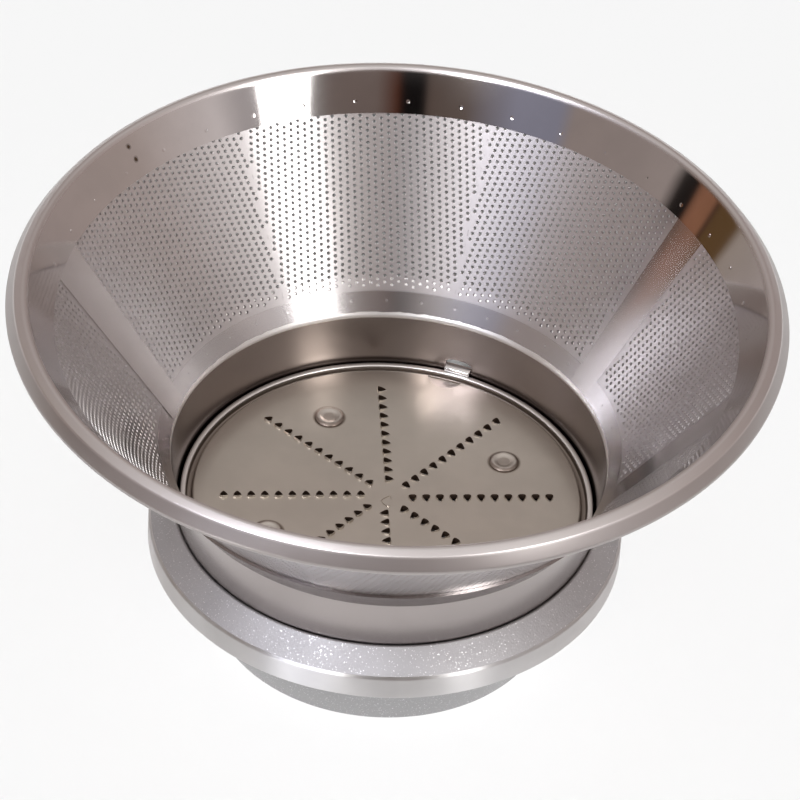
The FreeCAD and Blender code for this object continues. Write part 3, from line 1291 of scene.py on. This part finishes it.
@dataclass
class Collar(SubAssembly):
    """Drawn cup with a ring floor, a tapered wall, a flare and a lock tab."""

    cone: Cone = field(default_factory=Cone)
    sheet: float = 0.6
    foot_radius: float = 40.2
    neck_radius: float = 42.2
    foot_bend: float = 1.4
    neck_bend: float = 1.2
    floor_height: float = 25.8
    floor_hole: float = 15.0
    flare_top: float = 44.3
    flare_depth: float = 0.45
    tab_azimuth: float = 72.0
    tab_width: float = 5.2
    tab_foot: float = 28.35
    tab_thickness: float = 0.8
    tab_reach: float = 1.1
    tab_droop: float = 0.42
    tab_bevel: float = 0.22
    slot_rise: float = 1.1
    slot_lap: float = 0.2
    slot_shoulder: float = 0.6
    steps: int = 288
    # Inside finish: darker than the outside as painted shade inside the cup, with the neck's
    # painted highlight and the corner's painted shade.
    finish: Finish = DrawnCollar("collar_inner_shade_and_highlight", (0.37, 0.325, 0.31), 0.2, smudge_size=16.0,
                                 grain=0.6, mark_height=0.0008)
    outer_finish: Finish = TurnedSteel("collar_outer", (0.42, 0.38, 0.37), 0.24, smudge_size=16.0,
                                       grain=0.5, mark_height=0.0008)
    # Painted highlight: the tab gets a near-white colour for the light it reflects.
    tab_highlight_finish: Finish = Finish("tab_painted_highlight", (0.9, 0.88, 0.87), 0.22, smudge_size=2.0)

    node = "collar"
    slot = Slot.COLLAR

    def build(self) -> list[Piece]:
        """Spins the cup, lances its slot and adds the tab under it."""
        flare = self.cone.radius(self.cone.foot_height, self.flare_depth)
        neck = self.cone.foot_height + (self.neck_radius - flare) / self.cone.slope
        points = [
            (self.floor_hole, self.floor_height),
            (self.foot_radius, self.floor_height),
            (self.neck_radius, neck),
            (self.cone.radius(self.flare_top, self.flare_depth), self.flare_top),
        ]
        section = Section.sheet(points, [self.foot_bend, self.neck_bend], self.sheet)
        cup = Bench.spun("collar_cup", section, self.steps)
        Bench.pierce(cup, self.lance())
        piece = Bench.join([cup, self.tab(neck)])
        Bench.smooth(piece)
        return [piece]

    def lance(self) -> Piece:
        """Models the cutter of the arched slot over the tab."""
        half, low = self.tab_width / 2.0, self.tab_foot + self.tab_thickness - self.slot_lap
        high = low + self.slot_lap + self.slot_rise
        side, crown = high - self.slot_shoulder, high - self.slot_lap
        arch = [(-half, low), (half, low), (half, side), (0.8 * half, crown), (0.4 * half, high),
                (-0.4 * half, high), (-0.8 * half, crown), (-half, side)]
        ends = (self.foot_radius - 2.0, self.foot_radius + 3.0)
        rings = [[(r, y, z) for y, z in arch] for r in ends]
        cutter = Bench.loft("collar_slot", rings, closed=False)
        cutter.data.transform(Matrix.Rotation(math.radians(self.tab_azimuth), 4, "Z"))
        return cutter

    def tab(self, neck: float) -> Piece:
        """Models the lock tab as a bevelled block that runs into the wall.

        Args:
            neck: Height of the collar's neck.

        Returns:
            The tab.
        """
        rise = (self.tab_foot - self.floor_height) / (neck - self.floor_height)
        root = self.foot_radius + (self.neck_radius - self.foot_radius) * rise + self.sheet / 2.0
        tip = root - self.sheet / 2.0 - self.tab_reach
        half = self.tab_width / 2.0
        low, high = self.tab_foot, self.tab_foot + self.tab_thickness
        droop = self.tab_droop
        rings = [[(tip, -half, z - droop), (tip, half, z - droop),
                  (root, half, z), (root, -half, z)] for z in (low, high)]
        piece = Bench.loft("collar_tab", rings, closed=False)
        Bench.apply(piece, "BEVEL", width=self.tab_bevel * MM, segments=3, limit_method="ANGLE")
        piece.data.transform(Matrix.Rotation(math.radians(self.tab_azimuth), 4, "Z"))
        return piece

    def dress(self, pieces: Sequence[Piece]) -> None:
        """Finishes the collar inside and outside, with painted shade inside, and gives the tab a
        painted highlight.
        """
        self.coat(pieces[0], self.finish, self.tab_highlight_finish, self.outer_finish)
        self.paint(pieces[0], self.finish_index)

    def finish_index(self, face: bpy.types.MeshPolygon) -> int:
        """Finish of a face.

        Args:
            face: Face of the collar.

        Returns:
            1 on the tab, 2 outside and 0 inside.
        """
        radius = math.hypot(face.center.x, face.center.y) / MM
        is_high = face.center.z / MM > self.tab_foot - self.tab_droop
        if radius < self.foot_radius + 0.1 and is_high:
            return 1
        return 2 if face.normal.xy.dot(face.center.xy) > 0.0 else 0


@dataclass
class GratingDisc(SubAssembly):
    """Disc with a raised middle, a groove and a rim, rows of pierced teeth and a recess."""

    floor_height: float = 25.8
    sheet: float = 0.8
    flat_radius: float = 37.6
    plateau_rise: float = 1.2
    rim_radius: float = 40.1
    rim_width: float = 1.1
    rim_rise: float = 1.25
    groove_draft: float = 0.2
    fill_radius: float = 33.5
    row_count: int = 8
    row_phase: float = 5.4
    teeth_per_row: int = 11
    first_radius: float = 5.0
    pitch: float = 2.66
    row_offset: float = 0.95
    tooth_width: float = 2.1
    tooth_length: float = 2.1
    tooth_height: float = 0.5
    tip_height: float = 0.06
    corner_cut: float = 0.3
    corner_round: float = 0.17
    heel_crown: float = 0.2
    hole_scale: float = 0.98
    foot_gap: float = 0.05
    edge_round: float = 0.3
    recess_azimuth: float = 74.5
    recess_radius: float = 3.6
    recess_reach: float = 2.8
    recess_depth: float = 0.45
    recess_fall: float = 0.13
    mark_spot: Point2 = (-0.3, -1.5)
    mark_size: Point2 = (1.25, 2.3)
    mark_depth: float = 0.2
    steps: int = 240
    finish: Finish = SatinDisc("disc_satin", (0.6, 0.55, 0.49), 0.33, grain=0.2)
    # Painted shade: the walls of the tooth holes get a dark brown finish.
    bore_shade: Finish = Finish("tooth_bore_shade", (0.16, 0.11, 0.08), 0.55, smudge_size=1.0)

    node = "grating_disc"
    slot = Slot.DISC

    @property
    def top(self) -> float:
        """Height of the disc's raised flat face."""
        return self.floor_height + self.sheet + self.plateau_rise

    def ring(self, scale: float, tip: float, heel: float) -> list[Point3]:
        """Three-sided ring of a tooth, tip towards -Y, highest amid its heel.

        Args:
            scale: Size against the tooth's foot.
            tip: Height over the disc's face at the tip.
            heel: Height over the disc's face at the heel.

        Returns:
            Twelve points round the outline.
        """
        half, long = self.tooth_width / 2.0, self.tooth_length / 2.0
        corners = [Vector((half, long)), Vector((-half, long)), Vector((0.0, -long))]
        points = []
        for k, corner in enumerate(corners):
            before, after = corners[k - 1], corners[(k + 1) % 3]
            points.append(corner.lerp(before, self.corner_cut))
            points.append(corner.lerp((before + after) / 2.0, self.corner_round))
            points.append(corner.lerp(after, self.corner_cut))
            points.append((corner + after) / 2.0)
        middle = Vector((0.0, long / 3.0))
        result = []
        for point in points:
            spot = middle + (point - middle) * scale
            share = (long - spot.y) / (2.0 * long)
            crown = 1.0 - self.heel_crown * (spot.x / half) ** 2 if heel > 0.0 else 1.0
            height = self.top + heel * crown * (1.0 - share) + tip * share
            result.append((spot.x, spot.y, height))
        return result

    def tooth_moves(self) -> list[Matrix]:
        """Places of the teeth, row by row."""
        moves = []
        for row in range(self.row_count):
            azimuth = math.radians(self.row_phase + 360.0 * row / self.row_count)
            turn = Matrix.Rotation(azimuth, 4, "Z")
            for k in range(self.teeth_per_row):
                radius = self.first_radius + k * self.pitch
                moves.append(turn @ Matrix.Translation((radius * MM, -self.row_offset * MM, 0.0)))
        return moves

    def build(self) -> list[Piece]:
        """Spins the plate, pierces it, and sets the teeth round the holes."""
        groove = self.floor_height + self.sheet
        rim_top = groove + self.rim_rise
        rim_inner = self.rim_radius - self.rim_width
        web = self.flat_radius - self.sheet
        edge = [
            (self.fill_radius, self.top),
            (self.flat_radius, self.top),
            (self.flat_radius + self.groove_draft, groove),
            (rim_inner - self.groove_draft, groove),
            (rim_inner, rim_top),
            (self.rim_radius, rim_top),
            (self.rim_radius, rim_top - self.sheet),
            (rim_inner, self.floor_height),
            (web + self.groove_draft, self.floor_height),
            (web, self.top - self.sheet),
            (self.fill_radius, self.top - self.sheet),
        ]
        section = Section.softened(edge, self.edge_round)
        plate = Bench.spun("grating_disc_toothed", section, self.steps, fill=True)
        moves = self.tooth_moves()
        rings = [self.ring(self.hole_scale, end, end) for end in (-2.0 * self.sheet, 1.0)]
        holes = Bench.copies(Bench.loft("tooth_holes", rings, closed=False), moves)
        for cutter in (holes, self.recess(), self.mark()):
            Bench.pierce(plate, cutter)
        foot = self.foot_gap - self.sheet
        rings = [
            self.ring(1.12, -0.04, -0.04),
            self.ring(1.06, 0.3 * self.tip_height, 0.3 * self.tooth_height),
            self.ring(1.0, self.tip_height, 0.8 * self.tooth_height),
            self.ring(0.96, self.tip_height, self.tooth_height),
            self.ring(0.92, 0.5 * self.tip_height, 0.9 * self.tooth_height),
            self.ring(0.9, foot, foot),
            self.ring(1.08, foot, foot),
        ]
        teeth = Bench.copies(Bench.loft("teeth", rings, closed=True), moves)
        piece = Bench.join([plate, teeth])
        Bench.smooth(piece)
        return [piece]

    def recess(self) -> Piece:
        """Models the half-round recess's cutter, bounded by the groove."""
        turn = math.radians(self.recess_azimuth)
        bound = self.rim_radius - self.rim_width - self.groove_draft
        middle = Vector((self.flat_radius - self.recess_reach + self.recess_radius, 0.0))
        outline = []
        for k in range(32):
            angle = 2.0 * math.pi * k / 32
            spot = middle + self.recess_radius * Vector((math.cos(angle), math.sin(angle)))
            spot *= min(1.0, bound / spot.length)
            fall = self.recess_fall * (spot.x - self.flat_radius + 1.4)
            floor = self.top - self.recess_depth - fall
            outline.append((spot.x * math.cos(turn) - spot.y * math.sin(turn),
                            spot.x * math.sin(turn) + spot.y * math.cos(turn), floor))
        rings = [outline, [(x, y, self.top + 4.0) for x, y, _ in outline]]
        return Bench.loft("recess", rings, closed=False)

    def mark(self) -> Piece:
        """Models the cutter of the small pressed three-sided groove at the centre."""
        across, along = (2.0 * size / self.tooth_width for size in self.mark_size)
        wide, slim = ([(self.mark_spot[0] + y * across, self.mark_spot[1] + x * along)
                       for x, y, _ in self.ring(scale, 0.0, 0.0)] for scale in (1.0, 0.78))
        low, high = self.top - self.mark_depth, self.top + 0.5
        rings = [[(x, y, low) for x, y in wide], [(x, y, high) for x, y in wide],
                 [(x, y, high) for x, y in slim], [(x, y, low) for x, y in slim]]
        return Bench.loft("centre_mark", rings, closed=True)

    def dress(self, pieces: Sequence[Piece]) -> None:
        """Finishes the disc, and paints shade on the walls of the tooth holes."""
        self.coat(pieces[0], self.finish, self.bore_shade)
        self.paint(pieces[0], self.is_bore)

    def is_bore(self, face: bpy.types.MeshPolygon) -> bool:
        """Whether a face looks into its tooth's hole.

        Args:
            face: Face of the disc.

        Returns:
            True for a hole's wall.
        """
        if math.hypot(face.center.x, face.center.y) / MM >= self.fill_radius:
            return False
        pitch = 360.0 / self.row_count
        turn = math.degrees(math.atan2(face.center.y, face.center.x))
        row = self.row_phase + pitch * round((turn - self.row_phase) / pitch)
        back = Matrix.Rotation(-math.radians(row), 3, "Z")
        spot, way = (back @ face.center) / MM, back @ face.normal
        tooth = round((spot.x - self.first_radius) / self.pitch)
        tooth = min(max(tooth, 0), self.teeth_per_row - 1)
        heart = Vector((self.first_radius + tooth * self.pitch,
                        self.tooth_length / 6.0 - self.row_offset))
        inward = heart - spot.xy
        return inward.length < self.tooth_length and inward.dot(way.xy) > 0.1


@dataclass
class Rivets(SubAssembly):
    """Four shouldered rivets with dimpled heads."""

    count: int = 4
    phase: float = 28.5
    circle: float = 25.5
    disc_top: float = 27.8
    disc_under: float = 27.0
    shoulder_foot: float = 25.8
    plate_foot: float = 20.2
    shank_radius: float = 1.6
    shoulder_radius: float = 2.5
    head_radius: float = 2.9
    head_height: float = 0.5
    dimple_radius: float = 1.7
    dimple_depth: float = 0.3
    head_fall: float = 0.3
    head_run: float = 0.45
    edge_round: float = 0.3
    steps: int = 48
    finish: Finish = RivetHead("rivet_satin", (0.6, 0.55, 0.5), 0.34, smudge_size=1.5)

    node = "rivets"
    slot = Slot.RIVET

    def build(self) -> list[Piece]:
        """Spins one rivet and copies it round the circle."""
        low = self.plate_foot
        crown = self.disc_top + self.head_height
        section = [
            (0.0, low - self.head_height),
            (self.head_radius, low - self.head_height),
            (self.head_radius, low),
            (self.shank_radius, low),
            (self.shank_radius, self.shoulder_foot),
            (self.shoulder_radius, self.shoulder_foot),
            (self.shoulder_radius, self.disc_under),
            (self.shank_radius, self.disc_under),
            (self.shank_radius, self.disc_top),
            (self.head_radius, self.disc_top),
            (self.head_radius, crown - self.head_fall),
            (self.head_radius - self.head_run, crown),
            (self.dimple_radius + 0.25, crown),
            (self.dimple_radius - 0.5, crown - self.dimple_depth),
            (0.0, crown - self.dimple_depth),
        ]
        piece = Bench.spun("rivets_headed", Section.softened(section, self.edge_round), self.steps)
        moves = []
        for k in range(self.count):
            turn = math.radians(self.phase + 360.0 * k / self.count)
            spot = (self.circle * MM * math.cos(turn), self.circle * MM * math.sin(turn), 0.0)
            moves.append(Matrix.Translation(spot))
        piece = Bench.copies(piece, moves)
        Bench.smooth(piece)
        return [piece]

    def dress(self, pieces: Sequence[Piece]) -> None:
        """Finishes the rivets."""
        self.coat(pieces[0], self.finish)


@dataclass
class DriveHub(SubAssembly):
    """Cast hub with a tapered body, a machined flange edge, a shoulder and a drive socket."""

    foot_radius: float = 33.0
    waist_radius: float = 41.0
    flange_radius: float = 46.0
    flange_foot: float = 16.9
    flange_top: float = 22.3
    chamfer: float = 0.5
    land: float = 0.5
    register_radius: float = 41.0
    register_top: float = 26.4
    seat: float = 25.2
    plate: float = 5.0
    wall: float = 3.4
    boss_radius: float = 11.5
    boss_recess: float = 3.0
    socket_radius: float = 7.0
    socket_depth: float = 15.0
    edge_round: float = 0.4
    machined_width: float = 0.75
    steps: int = 288
    cast: Finish = CastMetal("hub_cast", (0.49, 0.48, 0.49), 0.58, smudge_size=14.0)
    machined: Finish = TurnedSteel("hub_machined", (0.72, 0.705, 0.705), 0.4, grain=1.0,
                                   mark_height=0.01, mark_size=0.2)

    node = "drive_hub"
    slot = Slot.HUB

    def build(self) -> list[Piece]:
        """Spins the casting."""
        pocket = self.seat - self.plate
        taper = (self.waist_radius - self.foot_radius) / self.flange_foot
        section = [
            (0.0, self.boss_recess + self.socket_depth),
            (self.socket_radius, self.boss_recess + self.socket_depth),
            (self.socket_radius, self.boss_recess),
            (self.boss_radius, self.boss_recess),
            (self.boss_radius, pocket),
            (self.foot_radius + taper * pocket - self.wall, pocket),
            (self.foot_radius - self.wall, 0.0),
            (self.foot_radius, 0.0),
            (self.waist_radius, self.flange_foot),
            (self.flange_radius - self.chamfer, self.flange_foot),
            (self.flange_radius, self.flange_foot + self.chamfer),
            (self.flange_radius, self.flange_top - self.chamfer),
            (self.flange_radius - self.chamfer, self.flange_top),
            (self.register_radius + self.land, self.register_top),
            (self.register_radius, self.register_top),
            (self.register_radius, self.seat),
            (0.0, self.seat),
        ]
        piece = Bench.spun("drive_hub_cast", Section.softened(section, self.edge_round), self.steps)
        Bench.smooth(piece)
        return [piece]

    def dress(self, pieces: Sequence[Piece]) -> None:
        """Gives the casting its skin and the flange's edge its machined face."""
        self.coat(pieces[0], self.cast, self.machined)
        self.paint(pieces[0], self.finish_index)

    def finish_index(self, face: bpy.types.MeshPolygon) -> int:
        """Finish of a face.

        Args:
            face: Face of the hub.

        Returns:
            1 on the flange's edge and 0 elsewhere.
        """
        radius, z = math.hypot(face.center.x, face.center.y) / MM, face.center.z / MM
        is_flange = self.flange_foot - 0.1 < z < self.flange_top + 0.1
        return int(radius > self.flange_radius - self.machined_width and is_flange)


@dataclass
class Softbox:
    """Rectangular studio lamp aimed at the basket."""

    name: str
    azimuth: float
    elevation: float
    wide: float
    tall: float
    watts: float
    colour: Colour
    distance: float = 1.2

    def build(self, target: Vector) -> None:
        """Adds the lamp.

        Args:
            target: Point that the lamp faces.
        """
        turn, lift = math.radians(self.azimuth), math.radians(self.elevation)
        flat = math.cos(lift)
        way = Vector((math.cos(turn) * flat, math.sin(turn) * flat, math.sin(lift)))
        lamp = Bench.lamp("AREA", self.name, target + way * self.distance, self.watts)
        lamp.rotation_euler = (-way).to_track_quat("-Z", "Y").to_euler()
        lamp.data.shape = "RECTANGLE"
        lamp.data.size = self.wide
        lamp.data.size_y = self.tall
        lamp.data.color = self.colour
        lamp.visible_diffuse = False


@dataclass
class Studio:
    """Pale floor, soft lamps, a plain surround and the photograph's camera."""

    target: Point3 = (0.0, 0.0, 0.06)
    elevation: float = 39.811
    roll: float = 3.483
    distance: float = 1.4
    focal: float = 7395.0
    frame: float = 800.0
    aim: Point2 = (398.84, 296.55)
    aim_height: float = 78.3
    floor_colour: Colour = (0.86, 0.86, 0.86)
    front_watts: float = 4.7
    fill_watts: float = 9.0
    fill_size: float = 3.0
    fill_height: float = 2.2
    softboxes: tuple[Softbox, ...] = (
        Softbox("softbox_right", -48.0, 38.0, 0.27, 0.5, 3.8, (1.0, 1.0, 1.0)),
        Softbox("strip_left", -112.0, 48.5, 0.14, 0.18, 2.4, (1.0, 1.0, 1.0)),
        Softbox("panel_left", -128.0, 48.5, 0.36, 0.18, 4.4, (0.86, 0.89, 1.0)),
        Softbox("panel_low", -128.0, 3.0, 0.3, 0.2, 1.1, (1.0, 1.0, 1.0)),
    )
    surround: tuple[tuple[float, Colour], ...] = (
        (-180.0, (0.02, 0.016, 0.014)),
        (-176.0, (0.4, 0.34, 0.32)),
        (-142.0, (0.36, 0.3, 0.28)),
        (-138.0, (0.3, 0.3, 0.38)),
        (-124.0, (0.3, 0.3, 0.38)),
        (-108.0, (0.15, 0.115, 0.1)),
        (-96.0, (0.13, 0.095, 0.08)),
        (-94.0, (0.006, 0.005, 0.005)),
        (-87.5, (0.006, 0.005, 0.005)),
        (-85.5, (0.1, 0.035, 0.02)),
        (-79.0, (0.2, 0.155, 0.14)),
        (-64.0, (0.21, 0.165, 0.15)),
        (-58.0, (0.3, 0.28, 0.27)),
        (-36.0, (0.5, 0.46, 0.46)),
        (-28.0, (0.78, 0.72, 0.71)),
        (0.0, (0.5, 0.42, 0.39)),
        (40.0, (0.42, 0.35, 0.33)),
        (140.0, (0.46, 0.4, 0.38)),
        (156.0, (0.4, 0.34, 0.3)),
        (159.0, (0.14, 0.08, 0.035)),
        (166.0, (0.14, 0.08, 0.035)),
        (167.0, (0.01, 0.01, 0.01)),
        (168.5, (0.3, 0.14, 0.08)),
        (174.0, (0.32, 0.15, 0.09)),
        (175.5, (0.01, 0.01, 0.01)),
        (179.9, (0.02, 0.016, 0.014)),
    )
    overhead: Colour = (0.72, 0.69, 0.67)
    far_wall: Colour = (0.5, 0.45, 0.42)
    front_wall: Colour = (0.36, 0.31, 0.3)
    backdrop: Colour = (0.96, 0.96, 0.96)
    right_edge: Point2 = (0.93, 0.935)
    left_edge: Point2 = (0.012, 0.0105)
    level_foot: Point2 = (0.03, 0.08)
    level_top: Point2 = (0.42, 0.36)
    front_start: Point2 = (0.13, 0.15)
    front_end: Point2 = (0.4, 0.38)
    front_top: Point2 = (0.44, 0.4)
    overhead_edge: Point2 = (0.6, 0.85)
    sensor: float = 36.0

    def build(self) -> None:
        """Sets up the studio."""
        self.build_floor()
        self.build_surround()
        self.build_lamps()
        self.build_camera()

    def build_floor(self) -> None:
        """Lays the floor."""
        Bench.clear()
        bpy.ops.mesh.primitive_plane_add(size=8.0, location=(0.0, 0.0, -0.0001))
        floor = Bench.named("studio_floor")
        material = bpy.data.materials.new("studio_paper")
        material.use_nodes = True
        recipe = Recipe(material.node_tree)
        recipe.principled({"Base Color": (*self.floor_colour, 1.0), "Roughness": 1.0,
                           "Specular IOR Level": 0.0})
        floor.data.materials.append(material)

    def build_surround(self) -> None:
        """Colours the room by azimuth, lighter overhead, and white behind the basket."""
        world = bpy.data.worlds.new("studio_room")
        world.use_nodes = True
        bpy.context.scene.world = world
        recipe = Recipe(world.node_tree)
        way = recipe.node("ShaderNodeTexCoord").outputs["Generated"]
        x, y, z = recipe.axes(way)
        turn = recipe.maths("ARCTAN2", y, x) * (0.5 / math.pi) + 0.5
        stops = [(azimuth / 360.0 + 0.5, colour) for azimuth, colour in self.surround]
        walls = recipe.node("ShaderNodeValToRGB", {"stops": stops}, {0: turn}).outputs[0]
        side = recipe.maths("MAXIMUM", turn.step(*self.right_edge), turn.step(*self.left_edge))
        level = z.step(*self.level_foot) * z.step(*self.level_top)
        walls = recipe.blend(side * (1.0 - level), walls, self.far_wall)
        front = turn.step(*self.front_start) * turn.step(*self.front_end)
        walls = recipe.blend(front * z.step(*self.front_top), walls, self.front_wall)
        room = recipe.blend(z.step(*self.overhead_edge), walls, self.overhead)
        is_seen = Signal(recipe, recipe.node("ShaderNodeLightPath").outputs["Is Camera Ray"])
        colour = recipe.blend(is_seen, room, self.backdrop)
        shader = recipe.node("ShaderNodeBackground", {}, {"Color": colour, "Strength": 1.0})
        recipe.node("ShaderNodeOutputWorld", {}, {"Surface": shader.outputs[0]})
        world.cycles_visibility.diffuse = False

    def build_lamps(self) -> None:
        """Adds the softboxes, and the front and overhead lights that only the floor shows."""
        for softbox in self.softboxes:
            softbox.build(Vector(self.target))
        front = Bench.lamp("SUN", "front_light", (0.0, -1.0, 1.0), self.front_watts)
        front.rotation_euler = (math.radians(90.0 - self.elevation), 0.0, 0.0)
        front.data.angle = math.radians(4.0)
        overhead = (0.0, 0.0, self.fill_height)
        fill = Bench.lamp("AREA", "fill_light", overhead, self.fill_watts)
        fill.data.size = self.fill_size
        for lamp in (front, fill):
            lamp.visible_glossy = False

    def build_camera(self) -> None:
        """Places the camera so that the lip's centre falls on its pixel of the photograph."""
        lift, roll = math.radians(self.elevation), math.radians(self.roll)
        right = Vector((1.0, 0.0, 0.0))
        down = Vector((0.0, -math.sin(lift), -math.cos(lift)))
        ahead = Vector((0.0, math.cos(lift), -math.sin(lift)))
        rows = [
            right * math.cos(roll) - down * math.sin(roll),
            right * math.sin(roll) + down * math.cos(roll),
            ahead,
        ]
        middle = self.frame / 2.0
        ray = Vector((*((spot - middle) / self.focal for spot in self.aim), 1.0))
        turn = Vector((0.0, 0.0, 1.0)).rotation_difference(ray)
        turned = turn.to_matrix() @ Matrix(rows)
        lens = Vector((0.0, 0.0, self.aim_height * MM)) - ahead * self.distance
        bpy.ops.object.camera_add()
        camera = bpy.context.object
        camera.name = "photo_camera"
        axes = Matrix((turned[0], -turned[1], -turned[2])).transposed()
        camera.matrix_world = Matrix.Translation(lens) @ axes.to_4x4()
        camera.data.sensor_width = self.sensor
        camera.data.lens = self.sensor * self.focal / self.frame
        camera.data.clip_end = 50.0
        bpy.context.scene.camera = camera


def main() -> None:
    """Builds the basket's pieces and the studio."""
    logging.basicConfig(level=logging.INFO, format="%(message)s")
    bpy.context.scene.view_settings.view_transform = "Standard"
    for part in (RimRing(), MeshScreen(), Collar(), GratingDisc(), Rivets(), DriveHub()):
        part.place()
    Studio().build()


if __name__ == "__main__":
    main()
